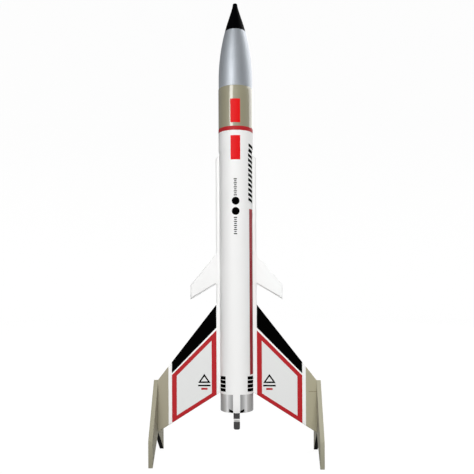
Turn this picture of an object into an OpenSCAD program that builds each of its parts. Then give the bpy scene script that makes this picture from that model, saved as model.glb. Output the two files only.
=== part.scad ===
// Winged model rocket: paper body tube, hollow plastic nose, sheet balsa
// wings with end plates, forward fins on long strakes, and a motor mount for
// an 18 mm motor. +Z is up along the axis, the ground is at z = 0.
// The front, where the engine hook hangs, faces -Y. The wings lie in the XZ plane.

/* [Body tube] */
// Outside diameter of the main paper tube
tube_od = 33.66; // [33:0.02:35]
// Wall of the main paper tube
tube_wall = 0.53; // [0.4:0.01:0.8]
// Height of the tube's tail end above the ground
tail_z = 50.5; // [48:0.5:56]
// Length of the main tube
tube_len = 327.1; // [320:0.1:340]
// Wall of the sleeve glued round the front of the tube
sleeve_wall = 0.68; // [0.5:0.01:0.9]
// Length of the forward sleeve
sleeve_len = 65.4; // [50:0.1:90]

/* [Nose] */
// Height of the nose above the tube's mouth
nose_len = 88.9; // [80:0.1:96]
// Length of the curved part of the nose
nose_curve = 80; // [70:1:80]
// Radius at the foot of the nose
nose_r = 17.2; // [16.9:0.05:17.4]
// Thickness of the nose's skin
nose_wall = 1.3; // [1:0.1:1.8]
// Length of the shoulder that slides into the tube
shoulder_len = 27; // [20:0.5:30]
// Radial clearance of the shoulder in the tube
shoulder_fit = 0.08; // [0.05:0.01:0.1]

/* [Sheet parts] */
// Thickness of the balsa sheet
sheet = 3.2; // [2.4:0.1:4]
// Distance from the axis to the strake's outer edge
strake_x = 20.7; // [19:0.1:24]
// Height of the strake's top above the tail, at its outer edge
strake_top = 257; // [220:1:260]
// Distance from the axis to a wing's tip
wing_x = 81.2; // [70:0.1:90]
// Distance from the axis to a forward fin's tip
canard_x = 47.2; // [40:0.1:60]
// Half depth of an end plate, front to back
plate_y = 32; // [28:0.1:50]
// Thickness of an end plate
plate_t = 4.4; // [2.4:0.1:4.8]

/* [Motor mount] */
// Inside diameter of the motor tube
motor_id = 18.03; // [17.9:0.01:18.3]
// Wall of the motor tube
motor_wall = 0.4; // [0.3:0.01:0.6]
// Length of the motor tube
motor_len = 70; // [60:0.5:74]
// How far the motor tube reaches below the tail
motor_drop = 1; // [0:0.1:1.5]
// Thickness of a centering ring
ring_t = 3.2; // [1.5:0.1:5]
// Width of the engine hook's strip
hook_w = 6.4; // [3:0.1:7]
// Thickness of the engine hook's strip
hook_t = 0.8; // [0.6:0.05:1]
// How far the hook's step is below the tail
hook_step = 7.3; // [6:0.1:9]
// How far the hook's finger tab reaches below the tail
hook_drop = 18.8; // [16:0.1:22]

/* [Launch lug] */
// Inside diameter of the launch lug
lug_id = 3.96; // [3.6:0.02:5]
// Wall of the launch lug
lug_wall = 0.3; // [0.25:0.01:0.5]
// Length of the launch lug
lug_len = 60.3; // [30:0.1:80]
// Height of the lug's lower end above the tail
lug_z = 96; // [60:1:130]
// Depth of the balsa strip that holds the lug clear of the forward sleeve
standoff = 2.2; // [1.6:0.1:5]

/* [Recovery] */
// Length of the folded parachute
chute_len = 72; // [50:1:80]
// Radius of the folded parachute
chute_r = 13.2; // [9:0.1:13.4]

/* [Hidden] */

tube_r = tube_od / 2;
bore_r = tube_r - tube_wall;
glue = 0.02;                          // glue line between bonded paper and wood
sleeve_r = tube_r + glue + sleeve_wall;
mouth_z = tail_z + tube_len;
motor_r = motor_id / 2;
motor_or = motor_r + motor_wall;
motor_z0 = tail_z - motor_drop;
peel = 0.22;
hook_y = motor_or + 0.08;             // inner face of the hook's strip
hook_top = tail_z - hook_step + 70;   // the motor's forward end stops here
lug_or = lug_id / 2 + lug_wall;
lug_y = tube_r + standoff + lug_or;   // distance from the axis to the launch rod
shoulder_r = bore_r - shoulder_fit;
plug_r = shoulder_r - nose_wall;

// heights above the tail, at the root and at the tip
wing_le = [107.6, 30.3];
wing_te = [15.1, -23.2];
canard_le = [159.3, 127.5];
canard_te = [128.5, 112.8];
strake_bottom_in = wing_te[0] + (strake_x - tube_r) * 0.644;
strake_top_in = strake_top + 4;
plate_le_tip = -24;

// tangent ogive, h measured down from its point
ogive_rho = (nose_r * nose_r + nose_curve * nose_curve) / (2 * nose_r);
function ogive(h) = sqrt(pow(ogive_rho, 2) - pow(nose_curve - min(h, nose_curve), 2))
                    + nose_r - ogive_rho;
// the same with a blunt, round-edged tip
function blunt(h) = sqrt(pow(ogive(h + 0.4), 2) + 5.6 * max(0, 1 - h / 16))
                    * (h < 1.2 ? sqrt(1 - pow(1 - h / 1.2, 2)) : 1);
nose_h = concat([0.06, 0.2, 0.5, 0.9, 1.5], [for (i = [1 : 11]) 1.5 + i * 1.5],
                [for (i = [1 : 20]) 18 + i * 3.1]);

// a sheet part standing in the XZ plane, cut to clear the tube; points are x, height above tail
module sheet_part(points, hug = 0) {
    difference() {
        translate([0, sheet / 2, tail_z]) rotate([90, 0, 0])
            linear_extrude(height = sheet) polygon(points);
        if (hug > 0) translate([0, 0, tail_z - 5]) cylinder(r = hug, h = 300, $fn = 96);
    }
}

module ring(r_out, r_in, h, z) {
    translate([0, 0, z]) difference() {
        cylinder(r = r_out, h = h, $fn = 96);
        translate([0, 0, -1]) cylinder(r = r_in, h = h + 2, $fn = 96);
    }
}

module flip(right) { if (right) children(); else mirror([1, 0, 0]) children(); }

module body_tube() {
    color([0.94, 0.94, 0.94]) ring(tube_r, bore_r, tube_len, tail_z);
}

module forward_sleeve() {
    color([0.62, 0.6, 0.5]) ring(sleeve_r, tube_r + glue, sleeve_len, mouth_z - sleeve_len);
}

module strake(right) {
    color([0.95, 0.95, 0.95]) flip(right)
        sheet_part([[tube_r - 1.5, strake_bottom_in + 0.97], [tube_r, strake_bottom_in],
                    [strake_x, wing_te[0]], [strake_x, strake_top],
                    [tube_r, strake_top_in], [tube_r - 1.5, strake_top_in + 1.5]],
                   hug = tube_r + glue);
}
module left_strake() { strake(false); }
module right_strake() { strake(true); }

module forward_fin(right) {
    color([0.96, 0.96, 0.96]) flip(right)
        sheet_part([[strake_x + glue, canard_te[0]], [canard_x, canard_te[1]],
                    [canard_x, canard_le[1]], [strake_x + glue, canard_le[0]]]);
}
module left_forward_fin() { forward_fin(false); }
module right_forward_fin() { forward_fin(true); }

module wing(right) {
    color([0.93, 0.93, 0.92]) flip(right)
        sheet_part([[strake_x + glue, wing_te[0]], [wing_x, wing_te[1]],
                    [wing_x, wing_le[1]], [strake_x + glue, wing_le[0]]]);
}
module left_wing() { wing(false); }
module right_wing() { wing(true); }

// swept both ways from the wing, and the rocket stands on its four lower corners
module end_plate(right) {
    color([0.62, 0.6, 0.5]) flip(right)
        translate([wing_x + glue, 0, tail_z]) rotate([90, 0, 90])
            linear_extrude(height = plate_t)
                polygon([[0, wing_le[1]], [plate_y, plate_le_tip], [plate_y, -tail_z],
                         [0, wing_te[1]], [-plate_y, -tail_z], [-plate_y, plate_le_tip]]);
}
module left_end_plate() { end_plate(false); }
module right_end_plate() { end_plate(true); }

module launch_lug() {
    color([0.93, 0.93, 0.93]) translate([0, lug_y, 0])
        ring(lug_or, lug_id / 2, lug_len, tail_z + lug_z);
}

// strip between the tube and the lug, with slanted ends, hollowed to sit on both
module lug_standoff() {
    z0 = tail_z + lug_z;
    color([0.93, 0.93, 0.92]) difference() {
        translate([sheet / 2, 0, 0]) rotate([90, 0, -90]) linear_extrude(height = sheet)
            polygon([[-tube_r + 1, z0 - 1.5], [-lug_y + 1.2, z0 + 2.5],
                     [-lug_y + 1.2, z0 + lug_len - 2.5], [-tube_r + 1, z0 + lug_len + 1.5]]);
        translate([0, 0, z0 - 5]) cylinder(r = tube_r + glue, h = lug_len + 10, $fn = 96);
        translate([0, lug_y, z0 - 5]) cylinder(r = lug_or + glue, h = lug_len + 10, $fn = 96);
    }
}

module motor_tube() {
    color([0.72, 0.58, 0.42]) difference() {
        ring(motor_or, motor_r, motor_len, motor_z0);
        // an inner ply is peeled away where the thrust ring is glued in
        translate([0, 0, hook_top]) cylinder(r = motor_r + peel, h = motor_len, $fn = 96);
        // slit for the hook's forward tab
        translate([-hook_w / 2 - 0.25, -motor_or - 1, hook_top - 0.3])
            cube([hook_w + 0.5, 3, hook_t + 0.6]);
    }
}

module thrust_ring() {
    color([0.66, 0.5, 0.33])
        ring(motor_r + peel - glue, motor_r - 1.3, motor_z0 + motor_len - hook_top - hook_t - 0.35,
             hook_top + hook_t + 0.35);
}

module centering_ring(z, notch) {
    difference() {
        ring(bore_r - glue, motor_or + glue, ring_t, z);
        translate([-hook_w / 2 - 0.5, -motor_or - notch, z - 1])
            cube([hook_w + 1, notch + 2, ring_t + 2]);
    }
}
module forward_centering_ring() {
    color([0.7, 0.55, 0.38]) centering_ring(hook_top - 5, 1.8);
}
module aft_centering_ring() {
    color([0.7, 0.55, 0.38]) centering_ring(tail_z + 6.4, 5.2);
}

// paper band that keeps the hook's forward half on the motor tube
module hook_retaining_band() {
    z = hook_top - 13;
    color([0.86, 0.8, 0.68]) difference() {
        union() {
            translate([0, 0, z]) cylinder(r = motor_or + 0.4, h = 6, $fn = 96);
            translate([-hook_w / 2 - 0.9, -hook_y - hook_t - 1.35, z])
                cube([hook_w + 1.8, hook_t + 6, 6]);
        }
        translate([0, 0, z - 1]) cylinder(r = motor_or + glue, h = 8, $fn = 96);
        translate([-hook_w / 2 - 0.4, -hook_y - hook_t - 0.95, z - 1])
            cube([hook_w + 0.8, hook_t + 5, 8]);
    }
}

// outline of the strip seen from the side: y is the distance from the axis
hook_side = [[motor_r - 1.4, hook_top], [hook_y, hook_top],
             [hook_y, tail_z - hook_step], [hook_y - 0.5, tail_z - hook_step - 0.75],
             [hook_y - 2.7, tail_z - hook_step - 2.6], [hook_y - 3, tail_z - hook_step - 3.3],
             [hook_y - 2.6, tail_z - hook_drop], [hook_y - 1.8, tail_z - hook_drop],
             [hook_y - 2.2, tail_z - hook_step - 3.1], [hook_y + 0.2, tail_z - hook_step - 1.3],
             [hook_y + hook_t, tail_z - hook_step - 0.1],
             [hook_y + hook_t, hook_top + hook_t], [motor_r - 1.4, hook_top + hook_t]];
module engine_hook() {
    color([0.3, 0.3, 0.31]) intersection() {
        rotate([90, 0, -90]) translate([0, 0, -hook_w / 2])
            linear_extrude(height = hook_w) polygon(hook_side);
        // rounded finger end
        translate([0, 5, 0]) rotate([90, 0, 0]) linear_extrude(height = 30)
            polygon(concat([[-hook_w / 2, hook_top + 2]],
                [for (a = [180 : 15 : 270]) [-hook_w / 2 + 1.9 + 1.9 * cos(a), tail_z - hook_drop + 1.9 + 1.9 * sin(a)]],
                [for (a = [270 : 15 : 360]) [hook_w / 2 - 1.9 + 1.9 * cos(a), tail_z - hook_drop + 1.9 + 1.9 * sin(a)]],
                [[hook_w / 2, hook_top + 2]]));
    }
}

// folded paper pad glued inside the tube, below the nose's shoulder
module shock_cord_anchor() {
    color([0.9, 0.88, 0.82]) intersection() {
        ring(bore_r - glue, bore_r - 1.5, 22, mouth_z - 62);
        translate([-9.5, 0, mouth_z - 63]) cube([19, 30, 24]);
    }
}

// the canopy folded and rolled, resting against the back wall
module parachute_pack() {
    color([0.85, 0.35, 0.15]) translate([0, bore_r - chute_r - 0.15, tail_z + 186]) rotate_extrude($fn = 64)
        polygon(concat([[0, 0]],
            [for (a = [-90 : 15 : 0]) [chute_r - 5 + 5 * cos(a), 5 + 5 * sin(a)]],
            [for (a = [0 : 15 : 90]) [chute_r - 5 + 5 * cos(a), chute_len - 5 + 5 * sin(a)]],
            [[0, chute_len]]));
}

module nose_cone() {
    top = mouth_z + nose_len;
    color([0.66, 0.69, 0.72]) rotate_extrude($fn = 96)
        polygon(concat([[0, top]],
            [for (h = nose_h) [blunt(h), top - h]],
            [[nose_r, mouth_z], [shoulder_r, mouth_z],
             [shoulder_r, mouth_z - shoulder_len + 0.8], [shoulder_r - 0.8, mouth_z - shoulder_len],
             [plug_r, mouth_z - shoulder_len], [plug_r, mouth_z + 2]],
            [for (i = [len(nose_h) - 1 : -1 : 9]) [blunt(nose_h[i]) - nose_wall, top - nose_h[i] - 0.3]],
            [[0, top - nose_h[8]]]));
}

// closes the shoulder and carries the eyelet for the shock cord
module nose_base_plug() {
    z0 = mouth_z - shoulder_len;
    color([0.2, 0.2, 0.2]) {
        difference() {
            translate([0, 0, z0]) cylinder(r = plug_r - glue, h = 5, $fn = 96);
            translate([0, 0, z0 + 1.4]) cylinder(r = plug_r - 1.3, h = 5, $fn = 96);
        }
        difference() {
            union() {
                translate([0, 1.25, z0 - 4.2]) rotate([90, 0, 0]) cylinder(r = 5, h = 2.5, $fn = 64);
                translate([-5, -1.25, z0 - 4.2]) cube([10, 2.5, 4.6]);
            }
            translate([0, 3, z0 - 4.2]) rotate([90, 0, 0]) cylinder(r = 3.2, h = 6, $fn = 64);
        }
    }
}

body_tube();
forward_sleeve();
left_strake();
right_strake();
left_forward_fin();
right_forward_fin();
left_wing();
right_wing();
left_end_plate();
right_end_plate();
launch_lug();
lug_standoff();
motor_tube();
thrust_ring();
forward_centering_ring();
aft_centering_ring();
hook_retaining_band();
engine_hook();
shock_cord_anchor();
parachute_pack();
nose_cone();
nose_base_plug();
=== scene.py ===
import bpy, bmesh, math, random
from math import sin, cos, pi, radians, degrees, sqrt, atan2
from mathutils import Vector, Matrix, noise


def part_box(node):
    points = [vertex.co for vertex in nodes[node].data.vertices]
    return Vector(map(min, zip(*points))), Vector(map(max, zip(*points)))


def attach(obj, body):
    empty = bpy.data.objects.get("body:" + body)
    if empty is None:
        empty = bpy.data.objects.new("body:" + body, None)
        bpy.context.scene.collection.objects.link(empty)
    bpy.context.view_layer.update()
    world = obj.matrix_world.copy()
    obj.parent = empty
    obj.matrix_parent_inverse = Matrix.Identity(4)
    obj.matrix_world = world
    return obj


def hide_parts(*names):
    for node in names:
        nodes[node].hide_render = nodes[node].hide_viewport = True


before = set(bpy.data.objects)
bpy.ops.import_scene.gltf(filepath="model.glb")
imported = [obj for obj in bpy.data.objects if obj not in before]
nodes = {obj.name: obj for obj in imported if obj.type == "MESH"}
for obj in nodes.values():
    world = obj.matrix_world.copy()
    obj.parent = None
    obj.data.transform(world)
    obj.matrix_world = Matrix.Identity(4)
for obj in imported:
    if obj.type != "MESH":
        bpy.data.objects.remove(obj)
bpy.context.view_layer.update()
MM = 0.001


# ---------------------------------------------------------------- sizes, read from the frame
def lo(n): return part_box(n)[0] / MM
def hi(n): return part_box(n)[1] / MM


TAIL = lo("body_tube").z                      # height of the tube's tail end
MOUTH = hi("body_tube").z                     # height of the tube's mouth
TUBE_R = hi("body_tube").y                    # 16.83
BORE_R = TUBE_R - 0.53
SLEEVE_R = hi("forward_sleeve").y             # 17.53
SLEEVE_Z0 = lo("forward_sleeve").z            # 312.2
TOP = hi("nose_cone").z                       # 466.9
SHOULDER_Z = lo("nose_cone").z                # 353
STRAKE_X = hi("right_strake").x               # 20.7
STRAKE_TOP = hi("right_strake").z
WING_X = hi("right_wing").x                   # 80.2
PLATE_X0 = lo("right_end_plate").x
PLATE_X1 = hi("right_end_plate").x
PLATE_Y = hi("right_end_plate").y
T = hi("right_wing").y                        # half thickness of the sheet, 1.6
FA = 1.0                                      # the tube's markings sit a little to the right of its front


# ---------------------------------------------------------------- materials
def new_mat(name):
    m = bpy.data.materials.new(name)
    m.use_nodes = True
    nt = m.node_tree
    b = nt.nodes["Principled BSDF"]
    return m, nt, b


def lin(r, g, b):
    f = lambda c: (c / 255 / 12.92) if c / 255 <= 0.04045 else ((c / 255 + 0.055) / 1.055) ** 2.4
    return (f(r), f(g), f(b), 1.0)


def N(nt, kind, **kw):
    n = nt.nodes.new(kind)
    for k, v in kw.items():
        if k.startswith("i_"):
            n.inputs[k[2:].replace("_", " ")].default_value = v
        else:
            setattr(n, k, v)
    return n


def coords(nt, scale=(1, 1, 1), rot=(0, 0, 0)):
    tc = N(nt, "ShaderNodeTexCoord")
    mp = N(nt, "ShaderNodeMapping")
    mp.inputs["Scale"].default_value = scale
    mp.inputs["Rotation"].default_value = rot
    nt.links.new(tc.outputs["Object"], mp.inputs["Vector"])
    return mp.outputs["Vector"]


def ramp(nt, fac, stops):
    r = N(nt, "ShaderNodeValToRGB")
    e = r.color_ramp.elements
    while len(e) > 1:
        e.remove(e[-1])
    e[0].position, e[0].color = stops[0]
    for p, c in stops[1:]:
        x = e.new(p)
        x.color = c
    nt.links.new(fac, r.inputs["Fac"])
    return r.outputs["Color"]


def grey(v): return (v, v, v, 1)


def scale_col(c, k): return (c[0] * k, c[1] * k, c[2] * k, 1)


def mix_col(nt, fac, a, b):
    m = N(nt, "ShaderNodeMix", data_type="RGBA")
    for s, v in ((6, a), (7, b)):
        if isinstance(v, tuple):
            m.inputs[s].default_value = v
        else:
            nt.links.new(v, m.inputs[s])
    if isinstance(fac, (int, float)):
        m.inputs[0].default_value = fac
    else:
        nt.links.new(fac, m.inputs[0])
    return m.outputs[2]


def bump_chain(nt, b, layers):
    """layers: (height socket, strength, distance in metres)"""
    last = None
    for sock, strength, dist in layers:
        bp = N(nt, "ShaderNodeBump")
        bp.inputs["Strength"].default_value = strength
        bp.inputs["Distance"].default_value = dist
        nt.links.new(sock, bp.inputs["Height"])
        if last is not None:
            nt.links.new(last, bp.inputs["Normal"])
        last = bp.outputs["Normal"]
    nt.links.new(last, b.inputs["Normal"])
    if b.inputs["Coat Weight"].default_value > 0:
        nt.links.new(last, b.inputs["Coat Normal"])


def noise_tex(nt, vec, scale, detail=3, rough=0.55):
    n = N(nt, "ShaderNodeTexNoise")
    n.inputs["Scale"].default_value = scale
    n.inputs["Detail"].default_value = detail
    n.inputs["Roughness"].default_value = rough
    nt.links.new(vec, n.inputs["Vector"])
    return n.outputs["Fac"]


def rough_from(nt, b, fac, lo_, hi_):
    mr = N(nt, "ShaderNodeMapRange")
    mr.inputs["To Min"].default_value = lo_
    mr.inputs["To Max"].default_value = hi_
    nt.links.new(fac, mr.inputs["Value"])
    nt.links.new(mr.outputs["Result"], b.inputs["Roughness"])


def spiral(nt, pitch=0.062, width=0.02):
    """A thin helical seam round the Z axis, 0 away from it and 1 in it."""
    tc = N(nt, "ShaderNodeTexCoord")
    sp = N(nt, "ShaderNodeSeparateXYZ")
    nt.links.new(tc.outputs["Object"], sp.inputs[0])
    at = N(nt, "ShaderNodeMath", operation="ARCTAN2")
    nt.links.new(sp.outputs["Y"], at.inputs[0])
    nt.links.new(sp.outputs["X"], at.inputs[1])
    a = N(nt, "ShaderNodeMath", operation="DIVIDE"); a.inputs[1].default_value = 2 * pi
    nt.links.new(at.outputs[0], a.inputs[0])
    z = N(nt, "ShaderNodeMath", operation="DIVIDE"); z.inputs[1].default_value = pitch
    nt.links.new(sp.outputs["Z"], z.inputs[0])
    s = N(nt, "ShaderNodeMath", operation="ADD")
    nt.links.new(a.outputs[0], s.inputs[0]); nt.links.new(z.outputs[0], s.inputs[1])
    f = N(nt, "ShaderNodeMath", operation="PINGPONG"); f.inputs[1].default_value = 0.5
    nt.links.new(s.outputs[0], f.inputs[0])
    mr = N(nt, "ShaderNodeMapRange", interpolation_type="SMOOTHSTEP")
    mr.inputs["From Min"].default_value = 0.0
    mr.inputs["From Max"].default_value = width
    mr.inputs["To Min"].default_value = 1.0
    mr.inputs["To Max"].default_value = 0.0
    nt.links.new(f.outputs[0], mr.inputs["Value"])
    return mr.outputs["Result"]


def paint(name, col, rough=0.3, coat=0.3, var=0.03, seam=False, grain=None, spec=0.5, metal=0.0,
          bump=1.0, coat_rough=0.15, orange=1.0, fleck=None, coat_ior=1.5, painted_shade_low=None):
    """Sprayed gloss paint: slight colour drift, orange peel, and what lies under it."""
    m, nt, b = new_mat(name)
    v = coords(nt)
    big = noise_tex(nt, v, 28, 2)
    fine = noise_tex(nt, v, 900, 2)
    c = mix_col(nt, big, scale_col(col, 1 - var), scale_col(col, min(1 + var, 1 / max(max(col[:3]), 1e-3)) if max(col[:3]) > .9 else 1 + var))
    if fleck:
        fl = noise_tex(nt, v, 5200, 1)
        c = mix_col(nt, ramp(nt, fl, [(0.35, grey(0)), (0.75, grey(1))]), c, fleck)
    if painted_shade_low:
        # painted shade towards the feet: darker below this height in mm, down to this share of the colour
        sp = N(nt, "ShaderNodeSeparateXYZ")
        nt.links.new(v, sp.inputs[0])
        mr = N(nt, "ShaderNodeMapRange", interpolation_type="SMOOTHSTEP")
        mr.inputs["From Min"].default_value, mr.inputs["From Max"].default_value = 0.0, painted_shade_low[0] * MM
        nt.links.new(sp.outputs["Z"], mr.inputs["Value"])
        c = mix_col(nt, mr.outputs["Result"], scale_col(col, painted_shade_low[1]), c)
    nt.links.new(c, b.inputs["Base Color"])
    b.inputs["Metallic"].default_value = metal
    b.inputs["Specular IOR Level"].default_value = spec
    b.inputs["Coat Weight"].default_value = coat
    b.inputs["Coat Roughness"].default_value = coat_rough
    b.inputs["Coat IOR"].default_value = coat_ior
    rough_from(nt, b, noise_tex(nt, v, 60, 3), max(rough - 0.04, 0.02), rough + 0.05)
    layers = [(fine, 0.12 * bump * orange, 0.00005), (noise_tex(nt, v, 240, 2), 0.10 * bump, 0.0001)]
    if seam:
        layers.append((spiral(nt), -0.10, 0.0002))
    if grain is not None:
        g = noise_tex(nt, coords(nt, (1, 1, 0.035), (0, grain, 0)), 900, 4, 0.65)
        layers.append((g, 0.18 * bump, 0.00012))
    bump_chain(nt, b, layers)
    return m


WHITE = lin(243, 243, 242)
KHAKI = lin(150, 146, 121)
RED_HI = lin(226, 9, 15)
RED_DK = lin(179, 36, 42)
M = {}
M["white_tube"] = paint("white_tube_paint", WHITE, rough=0.5, coat=0.05, var=0.01, seam=True, spec=0.2)
M["white_wood"] = paint("white_balsa_paint", WHITE, rough=0.45, coat=0.1, var=0.012, grain=0.0, spec=0.3)
M["white_wing_r"] = paint("white_wing_paint_right", WHITE, rough=0.45, coat=0.1, var=0.012, grain=radians(-38), spec=0.3)
M["white_wing_l"] = paint("white_wing_paint_left", WHITE, rough=0.45, coat=0.1, var=0.012, grain=radians(38), spec=0.3)
M["white_fin_l"] = paint("white_fin_paint_left", WHITE, rough=0.45, coat=0.1, var=0.012, grain=radians(38), spec=0.3)
# the right forward fin's white is painted brighter than the left one's: painted light
M["white_fin_r"] = paint("white_fin_paint_right_lit", lin(250, 251, 250), rough=0.45, coat=0.1, var=0.012, grain=radians(-38), spec=0.3)
M["khaki_tube"] = paint("khaki_tube_paint", lin(141, 136, 109), rough=0.5, coat=1.0, var=0.02, seam=True, spec=0.8, coat_ior=1.75, coat_rough=0.12)
# both end plates are painted darker towards their feet: painted shade under the wings
M["khaki_plate_l"] = paint("khaki_plate_paint_left_shaded", lin(160, 156, 136), rough=0.55, coat=0.0, var=0.03, grain=radians(30), spec=0.1, painted_shade_low=(48, 0.78))
# the two plates share one khaki: the left copy is darker as painted shade, the right one lighter as painted light
M["khaki_plate_r"] = paint("khaki_plate_paint_right_lit", lin(172, 169, 149), rough=0.55, coat=0.0, var=0.03, grain=radians(30), spec=0.1, painted_shade_low=(48, 0.74))
# the wing tips share one khaki: both copies are painted lighter as painted light against the shade of the end plates,
# and the left one is darker than the right as painted shade
M["khaki_wing_r"] = paint("khaki_wing_paint_right_lit", lin(168, 163, 139), rough=0.5, coat=0.0, var=0.03, grain=radians(-38), spec=0.2)
M["khaki_wing_l"] = paint("khaki_wing_paint_left_shaded", lin(163, 157, 137), rough=0.5, coat=0.0, var=0.03, grain=radians(38), spec=0.2)
# black on the end plates' downward trailing-edge faces: painted shade where those faces get no light
M["black_wood"] = paint("painted_shade_black_edge", lin(3, 3, 3), rough=0.6, coat=0.0, var=0.1, grain=0.0, spec=0.01)
M["silver_nose"] = paint("silver_nose_paint", (0.392, 0.42, 0.455, 1), rough=0.56, coat=0.35, var=0.03, metal=0.9, spec=0.5, fleck=(0.488, 0.52, 0.558, 1), coat_ior=1.6, coat_rough=0.3)
M["black_nose"] = paint("black_nose_paint", lin(2, 2, 3), rough=0.5, coat=0.0, var=0.1, spec=0.014)
M["red_film"] = paint("red_film", RED_HI, rough=0.45, coat=0.0, var=0.02, spec=0.12, bump=0.4)
M["red_dark_film"] = paint("red_line_film", RED_DK, rough=0.45, coat=0.0, var=0.02, spec=0.12, bump=0.4)
# the side stripe's red is a darker copy of the wing red: painted shade on the tube's right side
M["red_stripe_shaded_film"] = paint("red_stripe_shaded_film", lin(150, 26, 36), rough=0.45, coat=0.0, var=0.03, spec=0.12, bump=0.4)
M["khaki_line"] = paint("khaki_line_paint", lin(112, 106, 84), rough=0.5, coat=0.0, var=0.05, spec=0.15)
M["black_film"] = paint("black_film", lin(2, 2, 2), rough=0.6, coat=0.0, var=0.1, spec=0.006, bump=0.4)
M["fill_film"] = paint("pale_grey_film", lin(226, 227, 226), rough=0.4, coat=0.1, var=0.01, spec=0.3, bump=0.4)


def silver_film():
    """Printed silver panel: dark at both edges and light between, by the angle round the tube. The light band sits off
    the panel's middle and the outer side is darker, which is painted shade.
    """
    m, nt, b = new_mat("silver_print_and_shade_film")
    tc = N(nt, "ShaderNodeTexCoord")
    sp = N(nt, "ShaderNodeSeparateXYZ")
    # |x| against |y| folds the four panels onto one, once turned as the markings are
    rot = N(nt, "ShaderNodeVectorRotate", rotation_type="Z_AXIS")
    rot.inputs["Angle"].default_value = radians(-FA)
    nt.links.new(tc.outputs["Object"], rot.inputs["Vector"])
    nt.links.new(rot.outputs["Vector"], sp.inputs[0])
    ax = N(nt, "ShaderNodeMath", operation="ABSOLUTE"); nt.links.new(sp.outputs["X"], ax.inputs[0])
    ay = N(nt, "ShaderNodeMath", operation="ABSOLUTE"); nt.links.new(sp.outputs["Y"], ay.inputs[0])
    at = N(nt, "ShaderNodeMath", operation="ARCTAN2")
    nt.links.new(ax.outputs[0], at.inputs[0]); nt.links.new(ay.outputs[0], at.inputs[1])
    d = N(nt, "ShaderNodeMath", operation="DIVIDE"); d.inputs[1].default_value = pi / 2
    nt.links.new(at.outputs[0], d.inputs[0])
    A = lambda deg: deg / 90
    # printed gradient with painted shade: its peak at 34 degrees and its darker outer end come from the light on the
    # tube
    c = ramp(nt, d.outputs[0], [
        (A(11), lin(138, 138, 138)), (A(20), lin(160, 160, 160)), (A(29), lin(200, 200, 200)),
        (A(34), lin(226, 226, 226)), (A(41), lin(196, 196, 195)), (A(52), lin(176, 176, 175)),
        (A(62), lin(150, 150, 150)), (A(79), lin(128, 128, 128))])
    v = coords(nt)
    c2 = mix_col(nt, noise_tex(nt, v, 90, 2), c, c)
    nt.links.new(c2, b.inputs["Base Color"])
    b.inputs["Metallic"].default_value = 0.15
    b.inputs["Specular IOR Level"].default_value = 0.3
    b.inputs["Coat Weight"].default_value = 0.1
    rough_from(nt, b, noise_tex(nt, v, 120, 3), 0.36, 0.46)
    bump_chain(nt, b, [(noise_tex(nt, v, 700, 2), 0.06, 0.00005)])
    return m


M["silver_film"] = silver_film()


def kraft(name, col, rough=0.75, seam=True, ring=False):
    m, nt, b = new_mat(name)
    v = coords(nt)
    fib = noise_tex(nt, coords(nt, (1, 1, 0.25), (0.5, 0.3, 0)), 1500, 5, 0.7)
    big = noise_tex(nt, v, 60, 3)
    c = mix_col(nt, ramp(nt, fib, [(0.3, grey(0)), (0.7, grey(1))]), scale_col(col, 0.8), scale_col(col, 1.15))
    c = mix_col(nt, ramp(nt, big, [(0.35, grey(0)), (0.7, grey(1))]), c, scale_col(col, 0.92))
    layers = [(fib, 0.35, 0.0001), (noise_tex(nt, v, 400, 3), 0.2, 0.0001)]
    if seam:
        s = spiral(nt, 0.034, 0.018)
        c = mix_col(nt, s, c, scale_col(col, 0.5))
        layers.append((s, -0.5, 0.0002))
    nt.links.new(c, b.inputs["Base Color"])
    b.inputs["Specular IOR Level"].default_value = 0.2
    rough_from(nt, b, fib, rough - 0.08, min(rough + 0.1, 1))
    bump_chain(nt, b, layers)
    return m


M["kraft"] = kraft("kraft_paper", lin(176, 140, 100))
M["kraft_dark"] = kraft("kraft_paper_green", lin(96, 104, 72))
M["board"] = kraft("fibre_board", lin(168, 138, 104), seam=False)
M["tube_inside"] = kraft("white_tube_paper", lin(196, 184, 164))
M["card"] = kraft("folded_card", lin(226, 220, 204), seam=False)
M["band"] = kraft("paper_band", lin(206, 196, 176), seam=False)


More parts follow.
